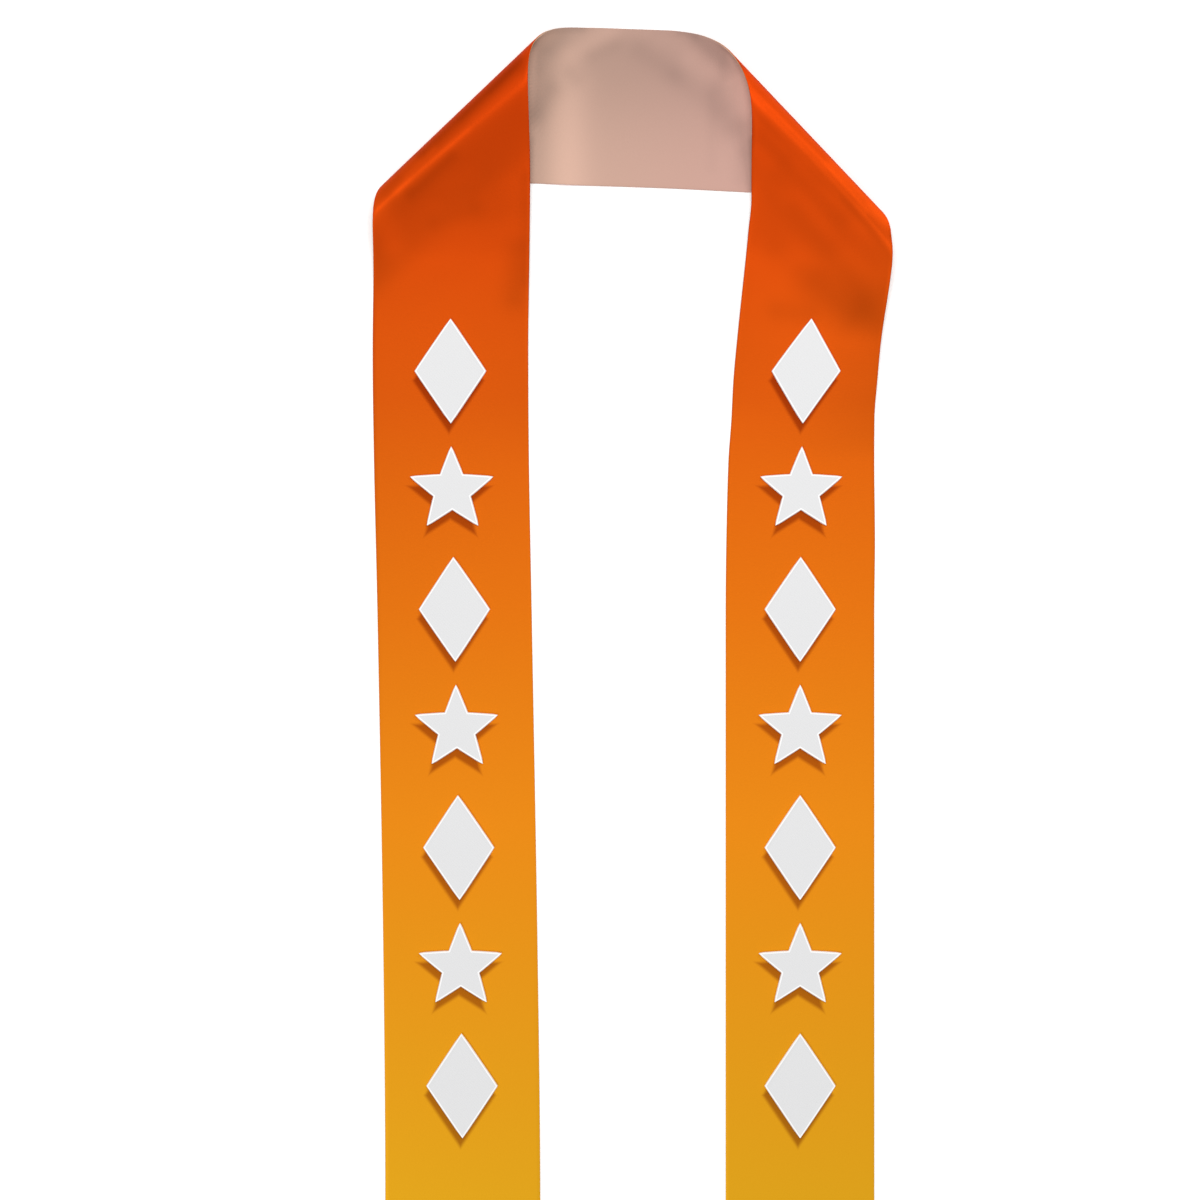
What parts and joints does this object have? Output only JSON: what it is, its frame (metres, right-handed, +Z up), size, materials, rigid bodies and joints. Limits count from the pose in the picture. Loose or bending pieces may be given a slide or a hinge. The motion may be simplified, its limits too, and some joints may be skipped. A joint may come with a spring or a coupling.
{
  "type": "stole",
  "caption": "Long satin stole laid flat: a neck band with its plain reverse up, turned over at each shoulder into a straight panel with raised lozenges and stars.",
  "frame": {"origin": "on the surface that the stole lies on, under the middle of its outer box", "axes": "+Y from the free ends towards the neck band, +X to the right for a viewer above with the neck band at the top, +Z up"},
  "size_m": [0.3677, 0.839, 0.0214],
  "materials": {
    "satin": "satin, printed on one side from orange-red at the neck to amber at the free ends, plain dusty beige on the other",
    "twill": "matte white twill"
  },
  "bodies": {
    "root": {"satin_strip": "satin", "left_lozenge_1": "twill", "left_star_2": "twill", "left_lozenge_3": "twill", "left_star_4": "twill", "left_lozenge_5": "twill", "left_star_6": "twill", "left_lozenge_7": "twill", "right_lozenge_1": "twill", "right_star_2": "twill", "right_lozenge_3": "twill", "right_star_4": "twill", "right_lozenge_5": "twill", "right_star_6": "twill", "right_lozenge_7": "twill"}
  },
  "joints": []
}
